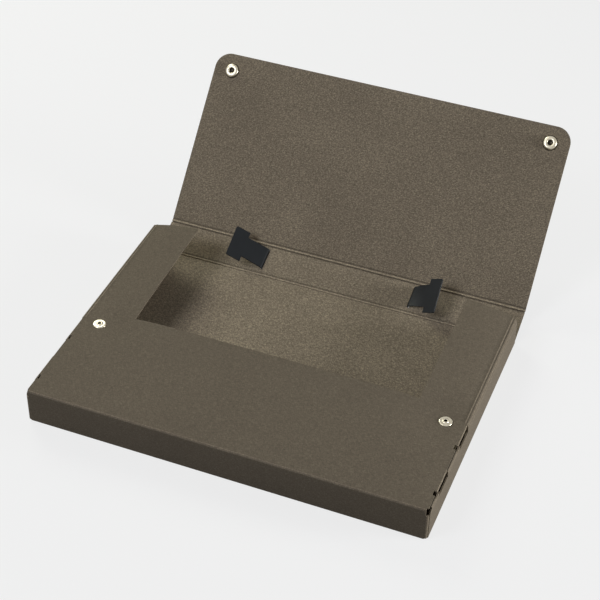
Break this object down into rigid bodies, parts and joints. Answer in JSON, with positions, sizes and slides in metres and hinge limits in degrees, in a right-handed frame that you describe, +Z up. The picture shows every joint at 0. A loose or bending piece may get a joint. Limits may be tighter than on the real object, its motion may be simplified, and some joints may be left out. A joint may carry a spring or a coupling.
{
  "type": "document case",
  "caption": "Shallow document case of folded pulp board with a cut-out top, a hinged spine, a snap-closed lid flap and a plastic strap handle.",
  "frame": {"origin": "centre of the case bottom, on the surface the case stands on", "axes": "+Z up from the case bottom, +Y from the front wall towards the spine, +X to the right seen from the front wall"},
  "size_m": [0.33, 0.3763, 0.127],
  "materials": {
    "pulp_board": "matt pressed pulp board, olive brown with fine flecks",
    "handle_plastic": "black polypropylene sheet, satin",
    "snap_nickel": "nickel-plated brass, bright"
  },
  "bodies": {
    "case": {"case_body": "pulp_board", "panel_stud_left": "snap_nickel", "panel_stud_right": "snap_nickel", "panel_post_left": "snap_nickel", "panel_post_right": "snap_nickel"},
    "spine": {"spine_panel": "pulp_board", "carry_handle": "handle_plastic"},
    "lid": {"lid_flap": "pulp_board", "lid_socket_left": "snap_nickel", "lid_socket_right": "snap_nickel", "lid_cap_left": "snap_nickel", "lid_cap_right": "snap_nickel"}
  },
  "joints": [
    {"name": "spine_fold", "type": "hinge", "parent": "case", "child": "spine", "pos_m": [0, 0.1182, 0.0008], "axis": [1, 0, 0], "range_deg": [0, 70.1]},
    {"name": "lid_fold", "type": "hinge", "parent": "spine", "child": "lid", "pos_m": [0, 0.14782, 0.01152], "axis": [1, 0, 0], "range_deg": [-26.5, 62.1]}
  ]
}
